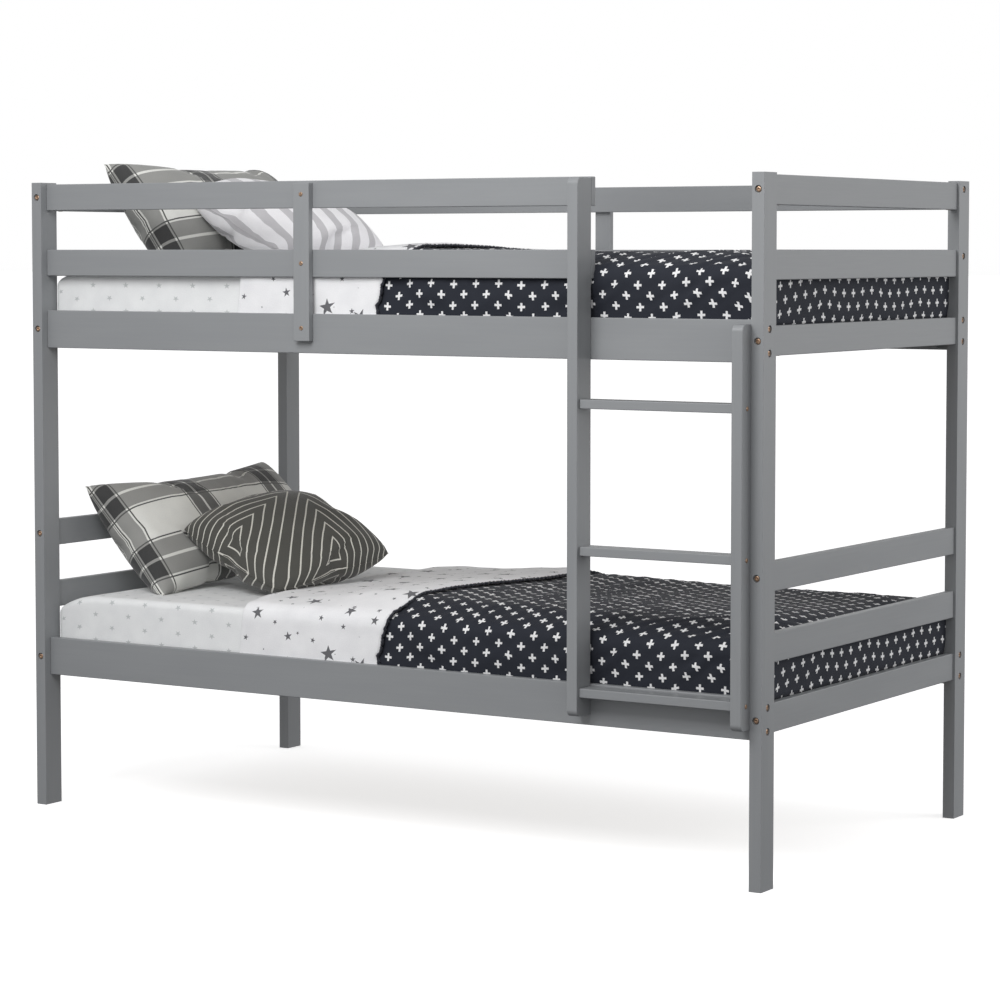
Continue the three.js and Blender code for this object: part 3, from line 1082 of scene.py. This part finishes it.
def duvet_base(y):
    """The duvet's lower layer, from its foot end to the fold, and its thickness."""
    foot_x = FLAT_HIGH[0] + DUVET_REACH
    share = np.linspace(0, 1, int((foot_x - FOLD_X) / CLOTH_STEP))[:, None]
    x = foot_x + (fold_line(y) + FOLD_RADIUS - foot_x) * share
    y = np.broadcast_to(y, x.shape)
    thick = base_thickness(x, y)
    rise = SHEET_RISE + 2.2 + thick / 2
    base = over_mattress(x, y, rise + creases(x, y, 2.0))
    base = settle(over_mattress(x, y, rise), base, x, y)
    room = span("end_rail_foot_lower_top")[0][0] - FOOT_CLEARANCE
    base[..., 0] = np.minimum(base[..., 0], room - thick / 2)
    return base, thick


def duvet_flap(y):
    """The turned-down part, from the fold to the hem, and its thickness."""
    fold_x = fold_line(y) + FOLD_RADIUS
    share = np.linspace(0, 1, int((HEM_X - FOLD_X) / CLOTH_STEP))[:, None]
    x = fold_x + (hem_line(y) - fold_x) * share
    sewn = smoothstep(0, 26, hem_line(y) - x)
    y = np.broadcast_to(y, x.shape)
    thick = flap_thickness(x, y)
    rise = SHEET_RISE + 3.0 + base_thickness(x, y) + thick / 2
    bumps = creases(x, y, 31.0) * 0.55
    return over_mattress(x, y, rise + bumps.clip(-1.5)), thick * (0.3 + 0.7 * sewn)


def half_turn(low, high, share):
    """Rows of points that turn back from one row to another, round the head side."""
    centre = (low + high) / 2
    arm = low - centre
    radius = np.linalg.norm(arm, axis=1)[:, None]
    angle = math.pi * share[..., None]
    return centre + arm * np.cos(angle) + np.array([-1.0, 0, 0]) * radius * np.sin(angle)


def duvet_middle():
    """The middle of the padded cloth as a grid: foot, top, fold, and back to the hem.

    Returns the points, the thickness and the flat places.
    """
    y = axis_steps(FLAT_LOW[1] - DUVET_REACH, FLAT_HIGH[1] + DUVET_REACH, CLOTH_STEP)
    base, base_thick = duvet_base(y)
    flap, flap_thick = duvet_flap(y)
    share = (np.arange(1, FOLD_ROWS) / FOLD_ROWS)[:, None]
    fold_thick = base_thick[-1] * (1 - share) + flap_thick[0] * share
    points = np.concatenate([base, half_turn(base[-1], flap[0], share), flap])
    thickness = np.concatenate([base_thick, fold_thick, flap_thick])
    return points, thickness, np.stack([measured(points, 0), measured(points, 1)], -1)


def settle(smooth, start, flat_x, flat_y):
    """Lets the duvet's cloth sink onto its filling, a little wider than its place."""
    rows, columns = flat_x.shape
    depth = inset(flat_x, flat_y)
    held = depth < HELD_INSET
    held[-2:, :] = True
    filling = smooth - np.array([0, 0, 5])
    ground = (filling.reshape(-1, 3), grid_faces(rows, columns, flipped=True))
    result = simulated(start.reshape(-1, 3), grid_faces(rows, columns), SETTLE_FRAMES, swell=0.03,
                       pinned=np.nonzero(held.ravel())[0], floor=ground)
    free = smoothstep(HEM_X - 10, HEM_X + 90, flat_x) * smoothstep(HELD_INSET, -30, depth)
    return start + capped(result.reshape(start.shape) - start, 15) * free[..., None]


def add_duvet(bunk, shape, materials, piping):
    points, thickness, flat = shape
    rows, columns = thickness.shape
    solid, faces = quilted(points, thickness)
    half = (rows - 1) * (columns - 1)
    picks = [0] * half + [1] * half + [0] * (len(faces) - 2 * half)
    flat = np.tile(flat.reshape(-1, 2), (2, 1))
    piece = add_bed_piece("duvet_cover", bunk, solid, faces, materials,
                          flat, picks)
    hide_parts(f"duvet_{bunk}")
    add_hem(bunk, points[-1], piping)


def add_hem(bunk, edge, material):
    """A thick uneven cord along the edge of the turned-down part."""
    steps = np.linalg.norm(np.diff(edge, axis=0), axis=1)
    reach = np.insert(np.cumsum(steps), 0, 0)
    fine = np.arange(0, reach[-1], CORD_STEP)
    path = np.stack([np.interp(fine, reach, edge[:, k]) for k in range(3)], 1)
    path[:, 0] += 2.5 + 1.4 * np.sin(fine * TAU / 23) + 0.9 * np.sin(fine * TAU / 11)
    radius = 3.0 + 0.8 * np.sin(fine * TAU / 17) + 0.5 * np.sin(fine * TAU / 7.3)
    points, faces = tube(path, radius, CORD_SIDES)
    around = np.arange(CORD_SIDES) * CORD_STEP
    flat = np.stack([np.repeat(fine, CORD_SIDES), np.tile(around, len(fine))], 1)
    add_bed_piece("duvet_hem", bunk, points, faces, [material], flat)


# ---- pillows ----

PILLOW_SIZE = (690, 350, 140)
PILLOW_SIDES = (-0.01, -0.09, 0)  # how far its edges bow out, and its corners are cut in
PILLOW_STEP = 10
CUSHION_SIZE = (374, 374, 144)
CUSHION_SIDES = (0.04, 0.04, 0.05)
CUSHION_STEP = 9
PRESSURE = 5
BLOW_FRAMES = 22
SEAM_SIDES = 6
END_BEND = 1.35  # how strongly its grid lines crowd together at its rim

# Each one's directions across it and up it, its shift from its solid's middle, and how
# far its far end droops.
LEANS = {
    "pillow_lower": ((0.04, 1, 0.03), (-0.67, 0, 0.74), (0, 0, -10), 0),
    "cushion_lower": ((0.235, 0.957, 0.17), (-0.92, 0.155, 0.34), (0, 0, -6), 0),
    "pillow_upper": ((0.02, 1, 0.01), (-0.62, 0.03, 0.785), (8, 0, -20), 62),
    "cushion_upper": ((0.235, 0.957, -0.05), (-0.92, 0.2, 0.37), (-8, 0, -36), 0),
}


def evenly_curved(count):
    """Places from -1 to 1 that lie closer together at the ends, where a pillow curves."""
    return np.sin(np.linspace(-END_BEND, END_BEND, count)) / math.sin(END_BEND)


def along_cloth(grid, axis, length):
    """How far along a grid's lines each point is, the lines being that long in all."""
    reach = measured(grid, axis)
    whole = reach.max(axis=axis, keepdims=True) - reach.min(axis=axis, keepdims=True)
    return reach / whole * length


def crowned(u, v, shape=1.0):
    """How full a pillow is, from 0 at its rim to 1; shape is its width over its height."""
    u = u.clip(-1, 1)
    v = v.clip(-1, 1)
    return (np.sqrt(1 - abs(u) ** 2.4) * np.sqrt(1 - abs(v) ** (2.4 * shape))) ** 0.9


def pillow_shape(size, sides, step):
    """A stuffed cover of two flat cloths sewn together at their rim.

    The pressure simulation gives it its puckers; its broad shape stays as set here.
    """
    width, height, thickness = size
    columns = int(width / step) | 1
    rows = int(height / step) | 1
    u = evenly_curved(rows)[:, None] * np.ones(columns)
    v = np.ones(rows)[:, None] * evenly_curved(columns)
    blunt = 1 - sides[2] * (u * v) ** 4
    x = v * (1 + sides[0] * (1 - u * u)) * blunt * width / 2
    y = u * (1 + sides[1] * (1 - v * v)) * blunt * height / 2
    top = np.stack([x, y, crowned(u, v, width / height) * thickness / 2], -1)
    under = top * (1, 1, -1)

    rim = rim_of(rows, columns)
    numbers = np.arange(rows * columns)
    inner = np.setdiff1d(numbers, rim)
    lookup = numbers.copy()
    lookup[inner] = len(numbers) + np.arange(len(inner))
    faces = grid_faces(rows, columns, flipped=True)
    faces += [[int(lookup[i]) for i in face] for face in grid_faces(rows, columns)]
    points = sewn(top, under, inner)
    blown = simulated(points, faces, BLOW_FRAMES, swell=0.07, pressure=PRESSURE)
    for layer, own in ((top, numbers), (under, lookup)):
        moves = (blown - points)[own].reshape(layer.shape)
        puckers = moves - blurred(moves, 40)
        layer += capped(puckers, 11) + capped(moves - puckers, 8) * 0.5
    points = sewn(top, under, inner)
    flat = np.stack([along_cloth(top, 1, width), along_cloth(top, 0, height)], -1)
    return points, faces, sewn(flat, flat, inner), rim


def sewn(top, under, inner):
    """Both cloths' values in one list, with their shared rim only once."""
    parts = top.shape[-1]
    return np.concatenate([top.reshape(-1, parts), under.reshape(-1, parts)[inner]])


def axes_of(across, up):
    """A pillow's own directions: across it, up it and out of its face."""
    w = Vector(across).normalized()
    n = w.cross(Vector(up)).normalized()
    return np.array([w, n.cross(w), n])


def bed_top(x, y):
    """The height of the lower bunk's bedding, without its pillows."""
    covered = smoothstep(-8, 16, x - fold_line(y))
    layers = base_thickness(x, y) + flap_thickness(x, y) + 8
    return sagged(x, HIGH[2] + SHEET_RISE + 2) + covered * layers


def add_pillow(name, node, shape, material, pressed_by=None):
    """Lays a pillow in its CAD solid's place, flat where it rests on the bed."""
    across, up, shift, droop = LEANS[node]
    turn = axes_of(across, up)
    kind, bunk = node.split("_")
    points, faces, flat, rim = shape
    low, high = span(node)
    centre = (low + high) / 2 - LIFT[bunk] + np.array(shift)
    placed = points @ turn + centre
    placed[:, 2] -= droop * smoothstep(0.45, 1.05, points[:, 0] / points[:, 0].max())
    if pressed_by:
        placed = dented(placed, *pressed_by)
    placed[:, 2] = np.maximum(placed[:, 2], bed_top(placed[:, 0], placed[:, 1]))
    seam = tube(placed[rim], 1.4, SEAM_SIDES, closed=True)
    points, faces = joined([(placed, faces), seam])
    flat = np.concatenate([flat, np.repeat(flat[rim], SEAM_SIDES, axis=0)])
    piece = add_piece(name, points + LIFT[bunk], faces, [material], f"{bunk}_{kind}", flat)
    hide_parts(node)
    return centre, turn


def dented(points, centre, turn):
    """Points pushed back to behind a cushion that leans on them."""
    own = (points - centre) @ turn.T
    half = CUSHION_SIZE[0] / 2
    u = own[:, 0] / half
    v = own[:, 1] / half
    under = -crowned(u, v) * CUSHION_SIZE[2] / 2 - 5
    inside = (abs(u) < 1) & (abs(v) < 1) & (own[:, 2] > under)
    own[inside, 2] = under[inside]
    return own @ turn + centre


def add_bedding():
    ticking = cloth("ticking", plain((0.74, 0.74, 0.72)), thread=2.4)
    ticking_piping = cloth("ticking_piping", plain((0.60, 0.60, 0.60)))
    sheet_cloth = cloth("sheet_print", sheet_stars, sheen=0.2)
    duvet_cloth = cloth("duvet_print", plus_signs, roughness=0.8, sheen=0.06)
    lining = cloth("duvet_lining", lining_stars, sheen=0.2)
    piping = cloth("duvet_piping", plain((0.035, 0.037, 0.048)))
    plaid_cloth = cloth("plaid_print", plaid, thread=1.6)
    dark_cloth = cloth("diamond_print", nested_triangles(CUSHION_SIZE[0] / 2), thread=1.6)
    pale_cloth = cloth("wave_print", waves)
    duvet = duvet_middle()
    pillow = pillow_shape(PILLOW_SIZE, PILLOW_SIDES, PILLOW_STEP)
    cushion = pillow_shape(CUSHION_SIZE, CUSHION_SIDES, CUSHION_STEP)
    for bunk in BUNKS:
        add_mattress(bunk, [ticking, ticking_piping])
        add_fitted_sheet(bunk, sheet_cloth)
        add_duvet(bunk, duvet, [duvet_cloth, lining], piping)
    for bunk, look, printed in (("lower", "diamond", dark_cloth), ("upper", "wave", pale_cloth)):
        leaning = add_pillow(f"{look}_cushion", f"cushion_{bunk}", cushion, printed)
        add_pillow(f"plaid_pillow_{bunk}", f"pillow_{bunk}", pillow, plaid_cloth,
                   leaning)


add_camera()
add_studio()
finish_boards()
add_all_fasteners()
add_bedding()
